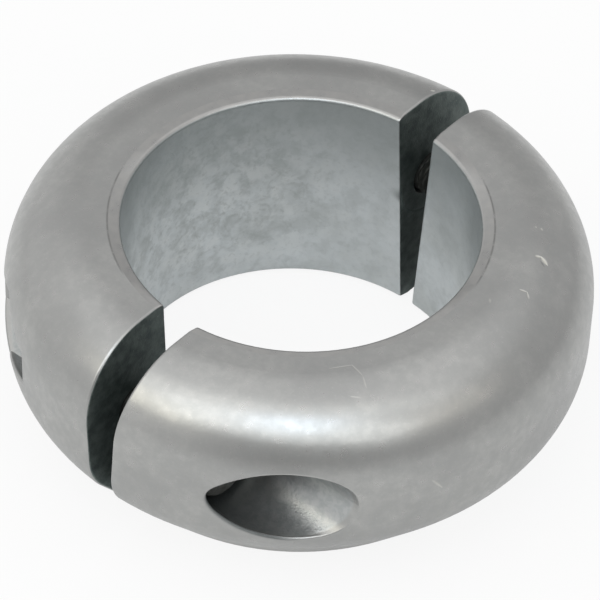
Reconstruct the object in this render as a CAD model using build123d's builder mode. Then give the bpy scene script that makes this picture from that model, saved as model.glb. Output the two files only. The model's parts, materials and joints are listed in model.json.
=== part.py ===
from build123d import *
from math import cos, radians, sin, tan
import os

# Two-piece shaft collar anode. Two identical zinc castings close round a propeller
# shaft and are drawn together by two socket head cap screws with nuts.
#
# Frame: the shaft axis is Z and the origin is at mid height. The split runs along Y,
# the front half lies on +X and the rear half on -X, and the screws lie along X.

# ---- the shaft and the ring cast round it ---------------------------------------
shaft_diameter = 50.0
ring_wall = 16.3            # from the bore out to the widest girth
ring_height = 35.0
crown_radius = 11.5         # large round between the top land and the side
girth_height = -4.0         # where the upright side turns into the tapered flank
girth_radius = 10.0         # round at that turn
foot_wall = 5.5             # width of the flat foot, lead-in included
foot_radius = 3.0           # round between the flank and the foot
lead_in_width = 1.7         # shallow lead-in round both mouths of the bore
lead_in_height = 0.45
rim_round = 0.6             # round between the lead-in and the bore

# ---- the split between the halves -----------------------------------------------
split_gap = 4.0             # at mid height, with the screws not yet drawn up
split_draft = 3.3           # degrees that each split face leans back from upright
edge_round = 0.4            # broken edge round each split face
mouth_round = 0.3           # broken edge round the mouths of the side pockets

# ---- screw seats ----------------------------------------------------------------
screw_height = 3.2          # screw axis above mid height
pocket_diameter = 12.2      # round pocket sunk in from the side
pocket_inset = 0.3          # pocket wall outside the bore line
seat_wall = 6.5             # metal between split face and pocket floor at screw height
screw_hole_diameter = 6.8
nut_seat_clearance = 0.2    # across the flats of the hexagon pocket

# ---- M6 socket head cap screw and nut -------------------------------------------
screw_diameter = 6.0
screw_length = 25.0
screw_point = 0.8           # chamfer on the end of the thread
head_diameter = 10.0
head_height = 6.0
head_round = 0.5
key_width = 5.0             # across the flats of the socket
key_depth = 3.0
nut_width = 10.0            # across the flats
nut_height = 5.2
nut_corner = 0.5            # bevel that takes the nut's corners down
thread_clearance = 0.1      # nut thread outside screw thread, on the radius

# ---- sizes that follow from them ------------------------------------------------
bore_radius = shaft_diameter / 2
girth = bore_radius + ring_wall
top = ring_height / 2
pocket_radius = pocket_diameter / 2
screw_offset = bore_radius + pocket_inset + pocket_radius
split_at_screw = split_gap / 2 + screw_height * tan(radians(split_draft))
seat = split_at_screw + seat_wall
outside = girth + pocket_radius
nut_corner_radius = nut_width / 2 / cos(radians(30))

# screw axes, seen from outside the front half: (Y, Z)
head_side = (-screw_offset, screw_height)
nut_side = (screw_offset, screw_height)


# ---- front half -----------------------------------------------------------------
split_face = Plane(
    origin=(split_gap / 2, 0, 0),
    x_dir=(0, 1, 0),
    z_dir=(cos(radians(split_draft)), 0, -sin(radians(split_draft))),
)

with BuildPart() as front_half:
    # the ring's section, turned round the shaft
    with BuildSketch(Plane.XZ) as section:
        with BuildLine():
            Polyline(
                (bore_radius, top - lead_in_height),
                (bore_radius + lead_in_width, top),
                (girth, top),
                (girth, girth_height),
                (bore_radius + foot_wall, -top),
                (bore_radius + lead_in_width, -top),
                (bore_radius, -top + lead_in_height),
                close=True,
            )
        make_face()
        for corner, radius in (
            ((girth, top), crown_radius),
            ((girth, girth_height), girth_radius),
            ((bore_radius + foot_wall, -top), foot_radius),
            ((bore_radius, top - lead_in_height), rim_round),
            ((bore_radius, -top + lead_in_height), rim_round),
        ):
            fillet(section.vertices().sort_by_distance(corner)[0], radius)
    revolve(axis=Axis.Z)
    split(bisect_by=split_face, keep=Keep.TOP)

    # a broken edge round both ends
    ends = front_half.faces().filter_by(split_face)
    fillet(ends.edges(), edge_round)

    # round pocket for the screw's head on one side, hexagon pocket for the nut on the other
    with Locations(Plane.YZ.offset(outside)):
        with Locations(head_side):
            CounterBoreHole(screw_hole_diameter / 2, pocket_radius, outside - seat, outside)
        with Locations(nut_side):
            Hole(screw_hole_diameter / 2, outside)
    with BuildSketch(Plane.YZ.offset(seat)):
        with Locations(nut_side):
            RegularPolygon((nut_width + nut_seat_clearance) / 2, 6, major_radius=False, rotation=30)
    extrude(amount=outside - seat, mode=Mode.SUBTRACT)

    # a broken edge round the mouths of both pockets, whose walls all start at the seat
    walls = front_half.faces().filter_by(lambda face: abs(face.bounding_box().min.X - seat) < 0.01)
    mouths = walls.edges().filter_by(lambda edge: edge.bounding_box().min.X > seat + 0.01)
    fillet(mouths, mouth_round)

front_half.part.label = "front_half"


# ---- rear half: the same casting, turned round the shaft -------------------------
with BuildPart() as rear_half:
    add(front_half.part.rotate(Axis.Z, 180))

rear_half.part.label = "rear_half"


# ---- cap screw with its head in the front half -----------------------------------
with BuildPart() as front_screw:
    with BuildSketch(Plane.YZ.offset(seat)):
        with Locations(head_side):
            Circle(head_diameter / 2)
    extrude(amount=head_height)
    fillet(front_screw.faces().sort_by(Axis.X)[-1].edges(), head_round)
    with BuildSketch(Plane.YZ.offset(seat)):
        with Locations(head_side):
            Circle(screw_diameter / 2)
    extrude(amount=-screw_length)
    chamfer(front_screw.faces().sort_by(Axis.X)[0].edges(), screw_point)
    with BuildSketch(Plane.YZ.offset(seat + head_height)):
        with Locations(head_side):
            RegularPolygon(key_width / 2, 6, major_radius=False)
    extrude(amount=-key_depth, mode=Mode.SUBTRACT)

front_screw.part.label = "front_screw"

with BuildPart() as rear_screw:
    add(front_screw.part.rotate(Axis.Z, 180))

rear_screw.part.label = "rear_screw"


# ---- nut in the front half's hexagon pocket, on the rear screw -------------------
with BuildPart() as front_nut:
    # round bar with turned corners, then cut to a hexagon
    with BuildSketch(Plane.YZ.offset(seat)):
        with Locations(nut_side):
            Circle(nut_corner_radius)
    extrude(amount=nut_height)
    chamfer(front_nut.edges().filter_by(GeomType.CIRCLE), nut_corner)
    with BuildSketch(Plane.YZ.offset(seat)):
        with Locations(nut_side):
            RegularPolygon(nut_width / 2, 6, major_radius=False, rotation=30)
    extrude(amount=nut_height, mode=Mode.INTERSECT)
    with Locations(Plane.YZ.offset(seat + nut_height)):
        with Locations(nut_side):
            Hole(screw_diameter / 2 + thread_clearance, nut_height)

front_nut.part.label = "front_nut"

with BuildPart() as rear_nut:
    add(front_nut.part.rotate(Axis.Z, 180))

rear_nut.part.label = "rear_nut"


# ---- export ----------------------------------------------------------------------
os.makedirs("parts", exist_ok=True)
for piece in (front_half, rear_half, front_screw, rear_screw, front_nut, rear_nut):
    export_step(piece.part, f"parts/{piece.part.label}.step")
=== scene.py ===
"""Look of a two-piece zinc shaft collar anode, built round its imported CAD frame.

The frame brings both castings, two cap screws and two nuts. The castings keep their
own meshes and get a cast skin; the screws and nuts are modelled again in full.
Lengths on the collar are written in millimetres and turned into metres with MM;
the floor, room and lamps are in metres.
"""

import json
from math import atan2, cos, hypot, pi, radians, tan

import bpy
from mathutils import Matrix, Vector


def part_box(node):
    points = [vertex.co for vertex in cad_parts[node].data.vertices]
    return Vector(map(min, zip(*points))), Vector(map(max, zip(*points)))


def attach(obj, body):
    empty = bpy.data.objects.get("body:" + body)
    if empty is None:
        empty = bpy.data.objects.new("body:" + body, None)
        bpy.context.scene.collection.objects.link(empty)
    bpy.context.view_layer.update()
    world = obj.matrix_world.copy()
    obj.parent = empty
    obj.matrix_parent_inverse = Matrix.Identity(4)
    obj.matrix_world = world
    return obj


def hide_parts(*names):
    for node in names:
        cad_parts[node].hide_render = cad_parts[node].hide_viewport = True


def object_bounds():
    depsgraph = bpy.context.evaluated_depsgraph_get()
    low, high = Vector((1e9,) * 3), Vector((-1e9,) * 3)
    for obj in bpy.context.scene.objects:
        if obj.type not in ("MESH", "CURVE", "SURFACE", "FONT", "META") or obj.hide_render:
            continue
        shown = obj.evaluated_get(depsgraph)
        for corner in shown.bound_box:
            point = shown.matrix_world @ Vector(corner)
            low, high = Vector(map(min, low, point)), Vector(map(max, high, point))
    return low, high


MM = 0.001

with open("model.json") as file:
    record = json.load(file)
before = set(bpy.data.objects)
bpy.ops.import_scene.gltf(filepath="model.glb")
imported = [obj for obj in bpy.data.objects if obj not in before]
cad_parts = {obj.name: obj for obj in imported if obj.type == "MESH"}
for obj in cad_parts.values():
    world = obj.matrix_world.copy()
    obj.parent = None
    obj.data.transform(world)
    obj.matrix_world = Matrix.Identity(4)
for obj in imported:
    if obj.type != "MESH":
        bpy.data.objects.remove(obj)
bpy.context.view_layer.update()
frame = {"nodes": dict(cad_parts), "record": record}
nodes = frame["nodes"]

# ---- sizes of the castings, as in the CAD ---------------------------------------
bore = next(m for m in frame["record"]["mounts"] if m["name"] == "shaft_bore")
BORE_RADIUS = bore["dims"]["r_mm"]
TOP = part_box("front_half")[1].z / MM
LEAD_IN_WIDTH, LEAD_IN_HEIGHT = 1.7, 0.45
LEAD_IN_SLOPE = LEAD_IN_HEIGHT / LEAD_IN_WIDTH
RIM_REACH = BORE_RADIUS + LEAD_IN_WIDTH      # outer edge of the lead-in
SPLIT_SLOPE = tan(radians(3.3))              # lean of each split face
SPLIT_AT_MID = 2.0
SCREW_OFFSET, SCREW_HEIGHT = 31.4, 3.2       # screw axis beside and above the middle
POCKET_RADIUS = 6.1
SEAT = 8.68                                  # where the screw heads and nuts bear
MOUTH_REACH = 40.4                           # the pockets end at this distance from the axis
VEINED_PLACE = (-23.1, 7.5, 2.5)             # the most mottled part of the bore
LEAD_IN_FADES = (-0.634, 0.773, 0.0)         # the lead-in fades towards this side and its opposite
LEAD_IN_MIDDLE = 1.5                         # and is full in a band this far off the axis

# ---- M6 cap screw and nut -------------------------------------------------------
THREAD_RADIUS = 3.0
THREAD_PITCH = 1.0
THREAD_DEPTH = 0.6
THREAD_RUNOUT = 2.0                          # length over which the groove fades in
THREAD_POINT = 0.8                           # chamfer at the end of the shank
STEPS_PER_MM = 8                             # rings of points along the shank
HEAD_HEIGHT = 6.0
HEAD_ROUND = 0.5
HEAD_BREAK = 0.15                            # small break where the head bears
KNURL_GROOVES = 60
KNURL_START, KNURL_END = 0.9, HEAD_HEIGHT - 1.2
KNURL_GAP, KNURL_DEPTH = 0.05, 0.13
KEY_WIDTH = 5.0
KEY_DEPTH = 3.0
DRILL_POINT = 0.9                            # below the floor of the key socket
NUT_WIDTH = 10.0
NUT_BEVEL = 0.45
NUT_BORE = 3.05
NUT_MOUTH, NUT_MOUTH_DEPTH = 3.65, 0.5       # countersink at both faces


# ---- modelling helpers ----------------------------------------------------------
def clear_selection():
    if bpy.context.object and bpy.context.object.mode != "OBJECT":
        bpy.ops.object.mode_set(mode="OBJECT")
    bpy.ops.object.select_all(action="DESELECT")


def select_only(piece):
    clear_selection()
    bpy.context.view_layer.objects.active = piece
    piece.select_set(True)


def add_rod(sides, radius, start, end, name="rod"):
    """A round or many-sided rod along Z from start to end, in millimetres."""
    clear_selection()
    bpy.ops.mesh.primitive_cylinder_add(
        vertices=sides, radius=radius * MM, depth=(end - start) * MM,
        location=(0, 0, (start + end) / 2 * MM))
    bpy.ops.object.transform_apply(location=True, rotation=True, scale=True)
    bpy.context.object.name = name
    return bpy.context.object


def add_cone(sides, radius_start, radius_end, start, end):
    clear_selection()
    bpy.ops.mesh.primitive_cone_add(
        vertices=sides, radius1=radius_start * MM, radius2=radius_end * MM,
        depth=(end - start) * MM, location=(0, 0, (start + end) / 2 * MM))
    bpy.ops.object.transform_apply(location=True, rotation=True, scale=True)
    return bpy.context.object


def combine(piece, tool, operation):
    """Boolean with a tool that is used up."""
    cut = piece.modifiers.new("cut", "BOOLEAN")
    cut.operation = operation
    cut.solver = "EXACT"
    cut.object = tool
    select_only(piece)
    bpy.ops.object.modifier_apply(modifier=cut.name)
    bpy.data.objects.remove(tool, do_unlink=True)


def deselect_parts(piece, kind):
    """Clears the piece's own selection and makes it one of FACE or EDGE."""
    select_only(piece)
    bpy.ops.object.mode_set(mode="EDIT")
    bpy.ops.mesh.select_mode(type=kind)
    bpy.ops.mesh.select_all(action="DESELECT")
    bpy.ops.object.mode_set(mode="OBJECT")


def select_faces(piece, wanted):
    """Edit mode on the piece, with the faces selected that wanted(centre mm, normal) picks."""
    deselect_parts(piece, "FACE")
    for face in piece.data.polygons:
        face.select = wanted(face.center / MM, face.normal)
    bpy.ops.object.mode_set(mode="EDIT")


def select_edges(piece, wanted):
    """Edit mode on the piece, with the edges selected that wanted(end mm, end mm) picks."""
    deselect_parts(piece, "EDGE")
    for edge in piece.data.edges:
        a, b = (piece.data.vertices[v].co / MM for v in edge.vertices)
        edge.select = wanted(a, b)
    bpy.ops.object.mode_set(mode="EDIT")


def lay_along(piece, start, direction):
    """Turns a piece made along Z onto its axis in the collar, with its Z=0 at start."""
    select_only(piece)
    turn = Vector(direction).to_track_quat("Z", "Y").to_matrix().to_4x4()
    piece.matrix_world = Matrix.Translation(Vector(start) * MM) @ turn
    bpy.ops.object.transform_apply(location=True, rotation=True, scale=True)


def smooth_by_angle(piece, angle=35):
    select_only(piece)
    bpy.ops.object.shade_smooth_by_angle(angle=radians(angle))


# ---- cap screw ------------------------------------------------------------------
def model_thread(length, radius):
    """Threaded shank along Z from 0 to length, with a pointed end at length."""
    shank = add_rod(48, radius, 0, length, "shank")
    select_edges(shank, lambda a, b: abs(a.z - b.z) > length / 2)
    bpy.ops.mesh.subdivide_edgering(number_cuts=int(length * STEPS_PER_MM),
                                    interpolation="LINEAR")
    bpy.ops.object.mode_set(mode="OBJECT")
    for vertex in shank.data.vertices:
        place = vertex.co / MM
        reach = hypot(place.x, place.y)
        turn = atan2(place.y, place.x) / (2 * pi)
        phase = (place.z / THREAD_PITCH - turn) % 1.0
        # a V groove, its root and its crest cut flat
        groove = min(1.0, max(0.0, 1.25 * (1 - abs(2 * phase - 1)) - 0.06))
        fade = min(1.0, max(0.0, (place.z - 0.4) / THREAD_RUNOUT))
        target = radius - THREAD_DEPTH * groove * fade
        target = min(target, radius - max(0.0, place.z - (length - THREAD_POINT)))
        vertex.co.x *= target / reach
        vertex.co.y *= target / reach
    return shank


def model_cap_screw(node, name, head_to):
    """Socket head cap screw for a CAD screw; head_to is +1 or -1, the side its head is on."""
    low, high = (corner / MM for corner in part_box(node))
    axis_y, axis_z = (low.y + high.y) / 2, (low.z + high.z) / 2
    head_radius = (high.z - low.z) / 2
    overall = high.x - low.x

    head = add_rod(KNURL_GROOVES * 2, head_radius, 0, HEAD_HEIGHT, name)
    # knurl: a band of pads round the side, left plain at the face and at the seat
    for height in (KNURL_START, KNURL_END):
        select_faces(head, lambda c, n: True)
        bpy.ops.mesh.bisect(plane_co=(0, 0, height * MM), plane_no=(0, 0, 1))
        bpy.ops.object.mode_set(mode="OBJECT")
    select_faces(head, lambda c, n: abs(n.z) < 0.1 and KNURL_START < c.z < KNURL_END)
    bpy.ops.mesh.inset(thickness=KNURL_GAP * MM, depth=-KNURL_DEPTH * MM, use_individual=True)
    # rounded rim at the face, small break at the seat
    select_edges(head, lambda a, b: min(a.z, b.z) > HEAD_HEIGHT - 0.01)
    bpy.ops.mesh.bevel(offset=HEAD_ROUND * MM, segments=4, affect="EDGES")
    select_edges(head, lambda a, b: max(a.z, b.z) < 0.01)
    bpy.ops.mesh.bevel(offset=HEAD_BREAK * MM, segments=2, affect="EDGES")
    bpy.ops.object.mode_set(mode="OBJECT")
    # key socket with its drill point and a broken mouth
    key_corner = KEY_WIDTH / 2 / cos(pi / 6)
    key_floor = HEAD_HEIGHT - KEY_DEPTH
    combine(head, add_rod(6, key_corner, key_floor, HEAD_HEIGHT + 1), "DIFFERENCE")
    combine(head, add_cone(48, 0.2, KEY_WIDTH / 2 - 0.02, key_floor - DRILL_POINT,
                           key_floor + 0.02), "DIFFERENCE")
    combine(head, add_cone(48, key_corner - 0.3, key_corner + 0.5,
                           HEAD_HEIGHT - 0.3, HEAD_HEIGHT + 0.5), "DIFFERENCE")

    shank = model_thread(overall - HEAD_HEIGHT, THREAD_RADIUS)
    # end over end, so that the shank runs down from the head's seat
    select_only(shank)
    bpy.ops.object.mode_set(mode="EDIT")
    bpy.ops.mesh.select_all(action="SELECT")
    bpy.ops.transform.rotate(value=pi, orient_axis="X", center_override=(0, 0, 0))
    bpy.ops.object.mode_set(mode="OBJECT")
    combine(head, shank, "UNION")

    seat_x = high.x - HEAD_HEIGHT if head_to > 0 else low.x + HEAD_HEIGHT
    lay_along(head, (seat_x, axis_y, axis_z), (head_to, 0, 0))
    smooth_by_angle(head)
    return head


# ---- nut ------------------------------------------------------------------------
def model_nut(node, name, face_to):
    """Hexagon nut for a CAD nut; face_to is +1 or -1, the side its outer face is on."""
    low, high = (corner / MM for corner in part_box(node))
    axis_y, axis_z = (low.y + high.y) / 2, (low.z + high.z) / 2
    height = high.x - low.x
    corner_radius = NUT_WIDTH / 2 / cos(pi / 6)

    nut = add_rod(6, corner_radius, 0, height, name)
    # turned disc that takes the six corners down at both faces
    disc = add_rod(96, corner_radius - 0.05, 0, height, "disc")
    select_edges(disc, lambda a, b: abs(a.z - b.z) < 0.01)
    bpy.ops.mesh.bevel(offset_type="OFFSET", offset=NUT_BEVEL * MM, segments=1, affect="EDGES")
    bpy.ops.object.mode_set(mode="OBJECT")
    combine(nut, disc, "INTERSECT")
    combine(nut, add_rod(64, NUT_BORE, -1, height + 1), "DIFFERENCE")
    combine(nut, add_cone(64, NUT_MOUTH, THREAD_RADIUS, -0.1, NUT_MOUTH_DEPTH), "DIFFERENCE")
    combine(nut, add_cone(64, THREAD_RADIUS, NUT_MOUTH, height - NUT_MOUTH_DEPTH,
                          height + 0.1), "DIFFERENCE")

    # a corner of the hexagon points along the collar's Z, as in its pocket
    lay_along(nut, (low.x if face_to > 0 else high.x, axis_y, axis_z), (face_to, 0, 0))
    smooth_by_angle(nut, 25)
    return nut


# ---- node helpers ---------------------------------------------------------------
def feed(tree, socket, value):
    """Links another node's output to a socket, or sets it to a plain value."""
    if isinstance(value, bpy.types.NodeSocket):
        tree.links.new(value, socket)
    else:
        socket.default_value = value


def add_node(tree, kind, settings=None, **values):
    node = tree.nodes.new(kind)
    for key, value in (settings or {}).items():
        setattr(node, key, value)
    for key, value in values.items():
        feed(tree, node.inputs[key.replace("_", " ")], value)
    return node


def maths(tree, operation, first, second=0.0):
    node = add_node(tree, "ShaderNodeMath", {"operation": operation})
    for socket, value in zip(node.inputs, (first, second)):
        feed(tree, socket, value)
    return node.outputs[0]


def total(tree, *values):
    result = values[0]
    for value in values[1:]:
        result = maths(tree, "ADD", result, value)
    return result


def product(tree, *values):
    result = values[0]
    for value in values[1:]:
        result = maths(tree, "MULTIPLY", result, value)
    return result


def vector_maths(tree, operation, first, second):
    node = add_node(tree, "ShaderNodeVectorMath", {"operation": operation})
    feed(tree, node.inputs[0], first)
    feed(tree, node.inputs[3 if operation == "SCALE" else 1], second)
    gives_number = operation in ("DOT_PRODUCT", "DISTANCE")
    return node.outputs["Value" if gives_number else "Vector"]


def ramp_range(tree, value, start, end, low=0.0, high=1.0):
    """Smooth step from low at start to high at end."""
    node = add_node(tree, "ShaderNodeMapRange", {"interpolation_type": "SMOOTHSTEP"})
    for key, item in (("Value", value), ("From Min", start), ("From Max", end),
                      ("To Min", low), ("To Max", high)):
        feed(tree, node.inputs[key], item)
    return node.outputs["Result"]


def mix_colour(tree, share, first, second):
    node = add_node(tree, "ShaderNodeMix", {"data_type": "RGBA"})
    colours = [socket for socket in node.inputs if socket.type == "RGBA"]
    for socket, value in zip([node.inputs[0]] + colours, (share, first, second)):
        feed(tree, socket, value)
    return next(socket for socket in node.outputs if socket.type == "RGBA")


def new_group(name, inputs, outputs):
    """A node group with named inputs {name: (socket type, default)} and outputs {name: type}."""
    tree = bpy.data.node_groups.new(name, "ShaderNodeTree")
    for key, (kind, default) in inputs.items():
        socket = tree.interface.new_socket(key, in_out="INPUT", socket_type=kind)
        socket.default_value = default
    for key, kind in outputs.items():
        tree.interface.new_socket(key, in_out="OUTPUT", socket_type=kind)
    return tree, tree.nodes.new("NodeGroupInput"), tree.nodes.new("NodeGroupOutput")


def use_group(tree, group, **values):
    node = tree.nodes.new("ShaderNodeGroup")
    node.node_tree = group
    for key, value in values.items():
        feed(tree, node.inputs[key.replace("_", " ")], value)
    return node


def new_material(name, **constants):
    material = bpy.data.materials.new(name)
    material.use_nodes = True
    tree = material.node_tree
    shader = tree.nodes["Principled BSDF"]
    for key, value in constants.items():
        shader.inputs[key.replace("_", " ")].default_value = value
    return material, tree, shader


# ---- effects shared by the finishes ---------------------------------------------
def make_mottle_group():
    """Skin of a metal: large clouds, small blotches and fine grain."""
    tree, given, out = new_group(
        "mottle",
        {"Cloud Size": ("NodeSocketFloat", 8.0), "Blotch Size": ("NodeSocketFloat", 1.8),
         "Grain Size": ("NodeSocketFloat", 0.25), "Seed": ("NodeSocketFloat", 0.0)},
        {"Clouds": "NodeSocketFloat", "Blotches": "NodeSocketFloat", "Grain": "NodeSocketFloat"})
    place = add_node(tree, "ShaderNodeTexCoord").outputs["Object"]
    for key, size, detail, rough in (("Clouds", "Cloud Size", 3.0, 0.55),
                                     ("Blotches", "Blotch Size", 4.0, 0.6),
                                     ("Grain", "Grain Size", 2.0, 0.6)):
        scale = maths(tree, "DIVIDE", 1 / MM, given.outputs[size])
        noise = add_node(tree, "ShaderNodeTexNoise", {"noise_dimensions": "4D"},
                         Vector=place, W=given.outputs["Seed"], Scale=scale,
                         Detail=detail, Roughness=rough)
        feed(tree, out.inputs[key], noise.outputs["Fac"])
    return tree


def make_edge_group():
    """Mask of worn edges: where a rounded normal leaves the true one."""
    tree, given, out = new_group(
        "worn edges",
        {"Width": ("NodeSocketFloat", 0.3 * MM), "Threshold": ("NodeSocketFloat", 0.02)},
        {"Mask": "NodeSocketFloat"})
    rounded = add_node(tree, "ShaderNodeBevel", {"samples": 2}, Radius=given.outputs["Width"])
    true_normal = add_node(tree, "ShaderNodeNewGeometry").outputs["Normal"]
    along = vector_maths(tree, "DOT_PRODUCT", rounded.outputs["Normal"], true_normal)
    away = maths(tree, "SUBTRACT", 1.0, along)
    feed(tree, out.inputs["Mask"], ramp_range(tree, away, given.outputs["Threshold"], 0.2))
    return tree


def make_vein_group():
    """Thin worm-like lines, as flow marks on a cast wall, from where two noises cross."""
    tree, given, out = new_group(
        "flow veins",
        {"Size": ("NodeSocketFloat", 2.0), "Width": ("NodeSocketFloat", 0.03),
         "Seed": ("NodeSocketFloat", 0.0)},
        {"Mask": "NodeSocketFloat"})
    place = add_node(tree, "ShaderNodeTexCoord").outputs["Object"]
    scale = maths(tree, "DIVIDE", 1 / MM, given.outputs["Size"])
    noise = add_node(tree, "ShaderNodeTexNoise", {"noise_dimensions": "4D"}, Vector=place,
                     W=given.outputs["Seed"], Scale=scale, Detail=2.5, Roughness=0.55,
                     Distortion=0.6)
    off_line = maths(tree, "ABSOLUTE", maths(tree, "SUBTRACT", noise.outputs["Fac"], 0.5))
    feed(tree, out.inputs["Mask"], ramp_range(tree, off_line, given.outputs["Width"], 0.0))
    return tree


def make_nick_group():
    """One tapered line between two places on the piece, in millimetres: a nick, a scratch, or the
    painted shadow beside a nick.
    """
    tree, given, out = new_group(
        "nick",
        {"Place": ("NodeSocketVector", (0, 0, 0)), "From": ("NodeSocketVector", (0, 0, 0)),
         "To": ("NodeSocketVector", (1, 0, 0)), "Width": ("NodeSocketFloat", 0.2)},
        {"Mask": "NodeSocketFloat"})
    run = vector_maths(tree, "SUBTRACT", given.outputs["To"], given.outputs["From"])
    reach = vector_maths(tree, "SUBTRACT", given.outputs["Place"], given.outputs["From"])
    share = maths(tree, "DIVIDE", vector_maths(tree, "DOT_PRODUCT", reach, run),
                  vector_maths(tree, "DOT_PRODUCT", run, run))
    share = maths(tree, "MINIMUM", maths(tree, "MAXIMUM", share, 0.0), 1.0)
    off_line = vector_maths(tree, "DISTANCE", reach, vector_maths(tree, "SCALE", run, share))
    taper = maths(tree, "MULTIPLY", share, maths(tree, "SUBTRACT", 1.0, share))
    width = product(tree, given.outputs["Width"],
                    total(tree, 0.35, maths(tree, "MULTIPLY", taper, 2.6)))
    feed(tree, out.inputs["Mask"], ramp_range(tree, off_line, width, 0.0))
    return tree


mottle = make_mottle_group()
worn_edges = make_edge_group()
flow_veins = make_vein_group()
nick = make_nick_group()

# nicks and scratches on the castings: from, to, width in millimetres, and how strong;
# the one below zero is a painted shadow beside the nick above it, the others are bright
NICKS_AND_SHADOW = (
    ((28.2, 16.2, 17.0), (29.0, 16.9, 16.8), 0.38, 1.0),
    ((28.9, 16.9, 16.8), (30.3, 16.5, 16.4), 0.52, 1.0),
    # painted shadow beside the nick above, also pressed in as a dent
    ((29.3, 16.3, 16.8), (30.4, 15.9, 16.4), 0.30, -0.5),
    ((30.9, 9.7, 17.2), (31.8, 10.2, 16.9), 0.25, 0.5),
    ((31.8, 10.2, 16.9), (32.8, 9.3, 16.5), 0.25, 0.6),
    ((25.3, 21.3, 16.9), (25.9, 21.0, 16.8), 0.32, 0.6),
    ((24.7, 20.9, 17.1), (25.1, 20.6, 17.1), 0.22, 0.5),
    ((21.6, -19.3, 17.5), (23.4, -16.8, 17.5), 0.20, 0.22),
    ((23.4, -16.8, 17.5), (25.7, -17.3, 17.4), 0.20, 0.28),
    ((25.7, -17.3, 17.4), (27.3, -18.4, 17.1), 0.20, 0.22),
    ((26.6, -20.8, 16.8), (28.3, -19.4, 16.4), 0.18, 0.25),
    ((-3.5, 33.3, 16.9), (-3.9, 32.8, 16.9), 0.35, 0.8),
    ((29.1, 5.4, 17.4), (29.7, 4.7, 17.4), 0.30, 0.3),
    ((37.7, -16.6, 5.4), (38.5, -15.0, 3.0), 0.30, 0.3),
    ((10.4, -33.7, 15.9), (13.2, -34.4, 14.8), 0.22, 0.35),
)


# ---- cast zinc ------------------------------------------------------------------
SKIN_DARK, SKIN_LIGHT = (0.365, 0.365, 0.36, 1), (0.435, 0.435, 0.425, 1)
SKIN_BLOTCH, SKIN_GRAIN = (0.345, 0.35, 0.345, 1), (0.48, 0.48, 0.47, 1)
RIM_DARK, RIM_LIGHT = (0.37, 0.37, 0.365, 1), (0.41, 0.405, 0.395, 1)
# painted shade: a dark line along the crease at the outer edge of the lead-in
CREASE_SHADE = (0.16, 0.16, 0.155, 1)
BORE_DARK, BORE_LIGHT = (0.53, 0.555, 0.555, 1), (0.62, 0.65, 0.66, 1)
PALE_PATCH, DARK_PATCH = (0.72, 0.735, 0.725, 1), (0.41, 0.435, 0.43, 1)
BORE_FLECK, BORE_VEIN = (0.33, 0.35, 0.34, 1), (0.28, 0.295, 0.285, 1)
# painted shade: the bore wall is coloured darker towards its top end
BORE_TOP_SHADE = (0.32, 0.345, 0.345, 1)
# the second colour on the next line is painted shade for the deep end of the side pockets
POCKET_MOUTH, POCKET_DEEP_SHADE = (0.46, 0.47, 0.47, 1), (0.15, 0.185, 0.19, 1)
POCKET_FLECK, POCKET_LIP = (0.30, 0.33, 0.335, 1), (0.17, 0.18, 0.18, 1)
# split faces: their own rough cast tone, darkened further with painted shade of the narrow gap
SPLIT_SHADE_DARK, SPLIT_SHADE_LIGHT = (0.09, 0.115, 0.11, 1), (0.18, 0.21, 0.20, 1)
SPLIT_GRAIN = (0.38, 0.40, 0.38, 1)
RUBBED_EDGE = (0.64, 0.64, 0.62, 1)
# the second colour on the next line is a painted shadow beside one nick
BRIGHT_NICK, NICK_SHADOW = (0.80, 0.79, 0.72, 1), (0.07, 0.08, 0.08, 1)


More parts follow.
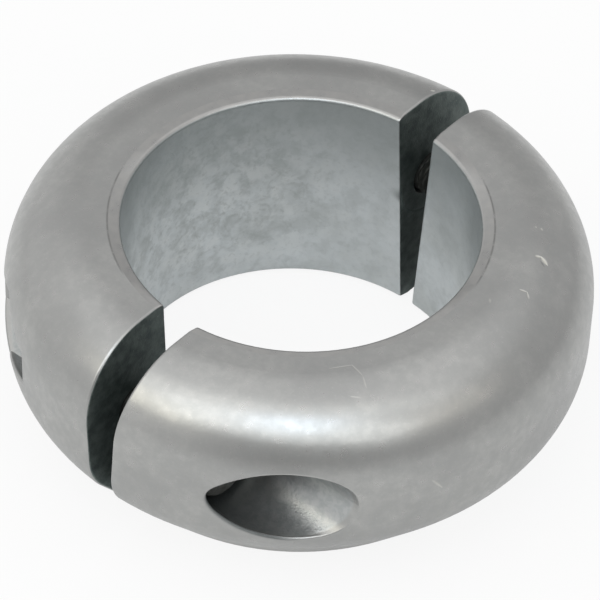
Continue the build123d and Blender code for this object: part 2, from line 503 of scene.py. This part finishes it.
def make_cast_zinc():
    material, tree, shader = new_material("cast zinc", Metallic=0.9)
    place = vector_maths(tree, "SCALE", add_node(tree, "ShaderNodeTexCoord").outputs["Object"],
                         1 / MM)
    split = add_node(tree, "ShaderNodeSeparateXYZ", Vector=place)
    x, y, z = (split.outputs[axis] for axis in "XYZ")
    reach = maths(tree, "SQRT", total(tree, product(tree, x, x), product(tree, y, y)))
    along_x = maths(tree, "ABSOLUTE", x)

    skin = use_group(tree, mottle, Cloud_Size=11.0, Blotch_Size=1.6, Grain_Size=0.35)
    clouds, blotches, grain = (skin.outputs[key] for key in ("Clouds", "Blotches", "Grain"))

    # where the surface is: in the bore, on the lead-in, on a split face or in a side pocket
    in_bore = ramp_range(tree, reach, BORE_RADIUS + 0.25, BORE_RADIUS + 0.05)
    lean = total(tree, product(tree, z, SPLIT_SLOPE), SPLIT_AT_MID)
    off_split = maths(tree, "SUBTRACT", along_x, lean)
    on_split = ramp_range(tree, off_split, 0.12, 0.04)
    on_end = ramp_range(tree, maths(tree, "ABSOLUTE", z), TOP - 0.6, TOP - 0.5)
    on_rim = product(tree, on_end, ramp_range(tree, reach, RIM_REACH + 0.05, RIM_REACH - 0.05))
    off_crease = maths(tree, "ABSOLUTE", maths(tree, "SUBTRACT", reach, RIM_REACH + 0.08))
    off_widest = maths(tree, "ABSOLUTE", total(tree, vector_maths(
        tree, "DOT_PRODUCT", place, LEAD_IN_FADES), LEAD_IN_MIDDLE))
    faded = ramp_range(tree, off_widest, 8.5, 15.0)
    # painted shade: a broken dark line in that crease, also pressed in slightly by the bump
    in_crease = product(tree, on_end, ramp_range(tree, off_crease, 0.22, 0.02),
                        ramp_range(tree, blotches, 0.36, 0.52, 0.5, 1.0),
                        ramp_range(tree, off_widest, 12.0, 8.0))
    across = maths(tree, "MAXIMUM", maths(tree, "MINIMUM", reach, RIM_REACH), BORE_RADIUS + 0.55)
    flattened = product(tree, faded, maths(tree, "SUBTRACT", RIM_REACH, across), LEAD_IN_SLOPE,
                        maths(tree, "SUBTRACT", 1.0, on_split))
    aside = maths(tree, "SUBTRACT", maths(tree, "ABSOLUTE", y), SCREW_OFFSET)
    above = maths(tree, "SUBTRACT", z, SCREW_HEIGHT)
    off_screw = maths(tree, "SQRT", total(tree, product(tree, aside, aside),
                                          product(tree, above, above)))
    in_pocket = product(tree,
                        ramp_range(tree, off_screw, POCKET_RADIUS + 0.08, POCKET_RADIUS + 0.02),
                        ramp_range(tree, along_x, SEAT - 0.2, SEAT - 0.1),
                        ramp_range(tree, reach, MOUTH_REACH + 0.2, MOUTH_REACH - 0.2))
    # painted shade: the pocket wall darkens towards its deep end
    deep_shade = ramp_range(tree, along_x, 20.0, 10.0)
    near_split = ramp_range(tree, off_split, 1.2, 0.6)
    in_hexagon = product(tree, in_pocket, ramp_range(tree, product(tree, x, y), 1.0, 2.0))
    on_lip = product(tree, ramp_range(tree, off_screw, POCKET_RADIUS + 0.7, POCKET_RADIUS + 0.2),
                     ramp_range(tree, off_screw, POCKET_RADIUS + 0.01, POCKET_RADIUS + 0.04),
                     ramp_range(tree, product(tree, x, y), -1.0, -2.0),
                     ramp_range(tree, along_x, 27.5, 24.0), ramp_range(tree, above, 2.0, -1.0))

    outside = mix_colour(tree, ramp_range(tree, clouds, 0.3, 0.7), SKIN_DARK, SKIN_LIGHT)
    outside = mix_colour(tree, ramp_range(tree, blotches, 0.35, 0.62, 0.0, 0.5), outside,
                         SKIN_BLOTCH)
    outside = mix_colour(tree, ramp_range(tree, grain, 0.56, 0.80, 0.0, 0.45), outside,
                         SKIN_GRAIN)
    rim = mix_colour(tree, ramp_range(tree, blotches, 0.3, 0.7), RIM_DARK, RIM_LIGHT)

    veined = ramp_range(tree, vector_maths(tree, "DISTANCE", place, VEINED_PLACE),
                        26.0, 6.0, 0.35, 1.0)
    wall = use_group(tree, mottle, Cloud_Size=9.0, Blotch_Size=2.6, Grain_Size=0.8, Seed=7.0)
    patches, flecks = wall.outputs["Blotches"], wall.outputs["Grain"]
    inside = mix_colour(tree, ramp_range(tree, wall.outputs["Clouds"], 0.32, 0.66),
                        BORE_DARK, BORE_LIGHT)
    inside = mix_colour(tree, product(tree, ramp_range(tree, patches, 0.46, 0.64), veined, 0.45),
                        inside, PALE_PATCH)
    inside = mix_colour(tree, product(tree, ramp_range(tree, patches, 0.52, 0.34), veined, 0.5),
                        inside, DARK_PATCH)
    inside = mix_colour(tree, product(tree, ramp_range(tree, flecks, 0.48, 0.32), veined, 0.35),
                        inside, BORE_FLECK)
    lines = use_group(tree, flow_veins, Size=3.0, Width=0.09, Seed=1.0).outputs["Mask"]
    veins = product(tree, lines, veined, ramp_range(tree, patches, 0.60, 0.44))
    inside = mix_colour(tree, product(tree, veins, 0.25), inside, BORE_VEIN)
    # painted shade, darkening the bore towards its top
    inside = mix_colour(tree, ramp_range(tree, z, -6.0, TOP, 0.0, 0.65), inside, BORE_TOP_SHADE)

    pocket = mix_colour(tree, deep_shade, POCKET_MOUTH, POCKET_DEEP_SHADE)
    pocket = mix_colour(tree, ramp_range(tree, flecks, 0.40, 0.62, 0.0, 0.35), pocket,
                        POCKET_FLECK)
    # split faces: rough cast tone with painted shade of the narrow gap between the halves
    split_face_and_shade = mix_colour(tree, ramp_range(tree, blotches, 0.3, 0.7), SPLIT_SHADE_DARK, SPLIT_SHADE_LIGHT)
    split_face_and_shade = mix_colour(tree, ramp_range(tree, grain, 0.66, 0.8), split_face_and_shade, SPLIT_GRAIN)

    colour = mix_colour(tree, on_rim, outside, rim)
    colour = mix_colour(tree, product(tree, in_crease, 0.65), colour, CREASE_SHADE)
    colour = mix_colour(tree, in_bore, colour, inside)
    colour = mix_colour(tree, on_lip, colour, POCKET_LIP)
    colour = mix_colour(tree, in_pocket, colour, pocket)
    colour = mix_colour(tree, on_split, colour, split_face_and_shade)

    # edges rubbed bright, brokenly, nicks with bright bottoms, and a painted shadow beside one
    # nick
    edges = product(tree, use_group(tree, worn_edges).outputs["Mask"],
                    ramp_range(tree, blotches, 0.38, 0.58, 0.25, 0.9),
                    maths(tree, "SUBTRACT", 1.0, total(tree, product(tree, on_lip, 0.9),
                                                       product(tree, near_split, 0.65))))
    colour = mix_colour(tree, edges, colour, RUBBED_EDGE)
    bright_nicks, nick_shadows = [], []
    for start, end, width, strength in NICKS_AND_SHADOW:
        mask = use_group(tree, nick, Place=place, From=start, To=end, Width=width).outputs["Mask"]
        kind = bright_nicks if strength > 0 else nick_shadows
        kind.append(product(tree, mask, abs(strength)))
    bright = total(tree, *bright_nicks)
    nick_shadow = total(tree, *nick_shadows)
    colour = mix_colour(tree, maths(tree, "MINIMUM", bright, 0.85), colour, BRIGHT_NICK)
    colour = mix_colour(tree, maths(tree, "MINIMUM", nick_shadow, 0.9), colour, NICK_SHADOW)
    feed(tree, shader.inputs["Base Color"], colour)

    rough = total(tree, ramp_range(tree, blotches, 0.3, 0.7, 0.27, 0.33),
                  product(tree, in_bore, 0.10), product(tree, on_split, 0.25),
                  product(tree, on_lip, 0.35), product(tree, in_pocket, 0.03),
                  product(tree, in_hexagon, 0.3))
    feed(tree, shader.inputs["Roughness"], rough)

    coarse = total(tree, on_split, product(tree, in_bore, 0.35), product(tree, in_pocket, 0.5))
    height = total(tree, product(tree, grain, 0.010), product(tree, blotches, 0.022),
                   product(tree, clouds, 0.10), product(tree, grain, coarse, 0.08),
                   product(tree, veins, in_bore, -0.02), product(tree, in_crease, -0.04),
                   product(tree, bright, -0.10), product(tree, nick_shadow, -0.15))
    level = add_node(tree, "ShaderNodeBump", Height=flattened, Distance=MM, Strength=1.0)
    bump = add_node(tree, "ShaderNodeBump", Height=height, Distance=MM, Strength=0.6,
                    Normal=level.outputs["Normal"])
    feed(tree, shader.inputs["Normal"], bump.outputs["Normal"])
    return material


cast_zinc = make_cast_zinc()


# ---- stainless steel ------------------------------------------------------------
STEEL_DARK, STEEL_LIGHT = (0.17, 0.165, 0.155, 1), (0.27, 0.26, 0.245, 1)
# the second colour on the next line is painted shade for the shank in the gap
STEEL_EDGE, GAP_SHADE_STEEL = (0.42, 0.41, 0.39, 1), (0.05, 0.055, 0.05, 1)


def make_screw_steel():
    material, tree, shader = new_material("screw steel", Metallic=1.0)
    skin = use_group(tree, mottle, Cloud_Size=3.0, Blotch_Size=0.7, Grain_Size=0.12, Seed=3.0)
    colour = mix_colour(tree, ramp_range(tree, skin.outputs["Blotches"], 0.3, 0.7),
                        STEEL_DARK, STEEL_LIGHT)
    # painted shade: the shank is coloured darker where it crosses the gap between the halves
    place = add_node(tree, "ShaderNodeTexCoord").outputs["Object"]
    along_x = maths(tree, "ABSOLUTE", add_node(tree, "ShaderNodeSeparateXYZ",
                                               Vector=place).outputs["X"])
    in_gap = ramp_range(tree, along_x, 8.0 * MM, 4.0 * MM)
    colour = mix_colour(tree, product(tree, in_gap, 0.8), colour, GAP_SHADE_STEEL)
    edges = use_group(tree, worn_edges, Width=0.12 * MM).outputs["Mask"]
    worn = product(tree, edges, maths(tree, "SUBTRACT", 1.0, in_gap), 0.6)
    colour = mix_colour(tree, worn, colour, STEEL_EDGE)
    feed(tree, shader.inputs["Base Color"], colour)
    feed(tree, shader.inputs["Roughness"],
         total(tree, ramp_range(tree, skin.outputs["Clouds"], 0.3, 0.7, 0.36, 0.48),
               product(tree, in_gap, 0.2)))
    bump = add_node(tree, "ShaderNodeBump", Height=skin.outputs["Grain"],
                    Distance=0.01 * MM, Strength=0.5)
    feed(tree, shader.inputs["Normal"], bump.outputs["Normal"])
    return material


screw_steel = make_screw_steel()


# ---- dress the collar -----------------------------------------------------------
def give_finish(piece, material):
    if not piece.data.materials:
        piece.data.materials.append(material)
    for finish in piece.material_slots:
        finish.material = material


for half in ("front_half", "rear_half"):
    give_finish(nodes[half], cast_zinc)

for side, where in (("front", 1), ("rear", -1)):
    screw = model_cap_screw(f"{side}_screw", f"{side}_cap_screw", where)
    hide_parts(f"{side}_screw")
    nut = model_nut(f"{side}_nut", f"{side}_hexagon_nut", where)
    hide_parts(f"{side}_nut")
    for piece in (screw, nut):
        give_finish(piece, screw_steel)
        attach(piece, "root")


# ---- camera ---------------------------------------------------------------------
PICTURE = 600                                 # picture width and height, pixels
EYE = Vector((252.52, -308.1, 400.14)) * MM
FOCAL_PIXELS = 4000.0
SENSOR = 36.0
ROLL = radians(2.10)
CENTRE_PIXEL = (298.04, 307.86)               # where the collar's origin lands


def set_up_camera():
    data = bpy.data.cameras.new("camera")
    data.sensor_fit = "HORIZONTAL"
    data.sensor_width = SENSOR
    data.lens = FOCAL_PIXELS * SENSOR / PICTURE
    data.clip_start, data.clip_end = 0.01, 20
    data.shift_x = (PICTURE / 2 - CENTRE_PIXEL[0]) / PICTURE
    data.shift_y = (CENTRE_PIXEL[1] - PICTURE / 2) / PICTURE
    camera = bpy.data.objects.new("camera", data)
    bpy.context.scene.collection.objects.link(camera)
    turn = (-EYE).to_track_quat("-Z", "Y").to_matrix().to_4x4()
    camera.matrix_world = Matrix.Translation(EYE) @ turn @ Matrix.Rotation(ROLL, 4, "Z")
    bpy.context.scene.camera = camera


set_up_camera()

# ---- floor, room and lamps ------------------------------------------------------
AWAY = Vector((-EYE.x, -EYE.y, 0)).normalized()
RIGHT = AWAY.cross(Vector((0, 0, 1)))


def in_room(right, away, up):
    """A place in the room, given as seen by someone standing at the camera."""
    return RIGHT * right + AWAY * away + Vector((0, 0, up))


FLOOR_GLOW = 0.88                             # share of plain white in the floor as seen
FLOOR_SHEEN = 0.25                            # and as reflected in the metal
FLOOR_LIT_CENTRE = in_room(-0.25, 0.12, 0)        # painted light: the floor's colour darkens away from here
FLOOR_NEAR, FLOOR_FAR = 0.30, 0.60            # metres from there
FLOOR_PAINTED_LIT, FLOOR_PAINTED_SHADE = (0.75, 0.75, 0.75, 1), (0.38, 0.38, 0.38, 1)
FLOOR_WIDTH = 6
ROOM_LEVEL = 0.38                             # brightness behind the camera
ROOM_GLOWS = (                                # towards, start and end of the facing, and how much
    ((0, 0, 1), 0.5, 1.0, 0.66),
    (-RIGHT, 0.0, 0.9, 0.48),
    (RIGHT, 0.0, 0.9, 0.24),
    (AWAY, 0.0, 0.9, 0.12),
)


def lay_floor():
    clear_selection()
    bpy.ops.mesh.primitive_plane_add(size=FLOOR_WIDTH, location=(0, 0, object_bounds()[0].z))
    floor = bpy.context.object
    floor.name = "floor"
    material, tree, shader = new_material("pale floor", Roughness=0.9, Specular_IOR_Level=0.0)
    place = add_node(tree, "ShaderNodeTexCoord").outputs["Object"]
    share = ramp_range(tree, vector_maths(tree, "DISTANCE", place, FLOOR_LIT_CENTRE),
                       FLOOR_NEAR, FLOOR_FAR)
    # painted light and shade: the floor is coloured lighter near the collar and darker farther off
    feed(tree, shader.inputs["Base Color"], mix_colour(tree, share, FLOOR_PAINTED_LIT, FLOOR_PAINTED_SHADE))
    paths = add_node(tree, "ShaderNodeLightPath")
    seen = total(tree, product(tree, paths.outputs["Is Camera Ray"], FLOOR_GLOW),
                 product(tree, paths.outputs["Is Transmission Ray"], FLOOR_GLOW),
                 product(tree, paths.outputs["Is Glossy Ray"], FLOOR_SHEEN))
    white = add_node(tree, "ShaderNodeEmission", Strength=1.0)
    mixed = tree.nodes.new("ShaderNodeMixShader")
    feed(tree, mixed.inputs[0], seen)
    feed(tree, mixed.inputs[1], shader.outputs[0])
    feed(tree, mixed.inputs[2], white.outputs[0])
    feed(tree, tree.nodes["Material Output"].inputs["Surface"], mixed.outputs[0])
    floor.data.materials.append(material)


def light_room():
    """A white room, brightest overhead and to the left, dimmest behind the camera."""
    world = bpy.data.worlds.new("room")
    bpy.context.scene.world = world
    world.use_nodes = True
    tree = world.node_tree
    direction = add_node(tree, "ShaderNodeTexCoord").outputs["Generated"]
    level = ROOM_LEVEL
    for towards, start, end, amount in ROOM_GLOWS:
        facing = vector_maths(tree, "DOT_PRODUCT", direction, towards)
        level = total(tree, ramp_range(tree, facing, start, end, 0.0, amount), level)
    paths = add_node(tree, "ShaderNodeLightPath")
    seen = maths(tree, "MAXIMUM", paths.outputs["Is Camera Ray"],
                 paths.outputs["Is Transmission Ray"])
    background = tree.nodes["Background"]
    feed(tree, background.inputs["Color"], (1, 1, 1, 1))
    feed(tree, background.inputs["Strength"], maths(tree, "MAXIMUM", level, seen))


# lamps: name, where in the room, width and height in metres, tilt, radiance, colour
LAMPS = (
    ("long soft box", (-0.01, -0.54, 0.60), (1.30, 0.377), -0.26, 1.45, (0.98, 1.0, 0.99)),
    ("cool core", (0.0, -0.56, 0.86), (0.28, 0.23), -0.26, 1.60, (0.78, 0.98, 1.22)),
    ("left window", (-0.74, -0.43, 0.59), (0.50, 0.25), 0.0, 1.15, (1.08, 1.03, 0.86)),
    ("right window", (0.72, -0.45, 0.52), (0.45, 0.30), 0.0, 0.45, (1.08, 1.0, 0.86)),
    ("ceiling panel", (-0.04, -0.30, 1.0), (1.40, 0.25), 0.0, 0.62, (1.0, 1.0, 0.95)),
)
LAMP_DISTANCE = 0.8


def hang_lamps():
    for name, towards, size, tilt, radiance, colour in LAMPS:
        data = bpy.data.lights.new(name, "AREA")
        data.shape = "RECTANGLE"
        data.size, data.size_y = size
        data.energy = radiance * pi * size[0] * size[1]
        data.color = colour
        lamp = bpy.data.objects.new(name, data)
        bpy.context.scene.collection.objects.link(lamp)
        place = in_room(*towards).normalized() * LAMP_DISTANCE
        turn = (-place).to_track_quat("-Z", "Y").to_matrix().to_4x4()
        lamp.matrix_world = Matrix.Translation(place) @ turn @ Matrix.Rotation(tilt, 4, "Z")


lay_floor()
light_room()
hang_lamps()

# ---- plain view transform, and finish -------------------------------------------
bpy.context.scene.view_settings.view_transform = "Standard"
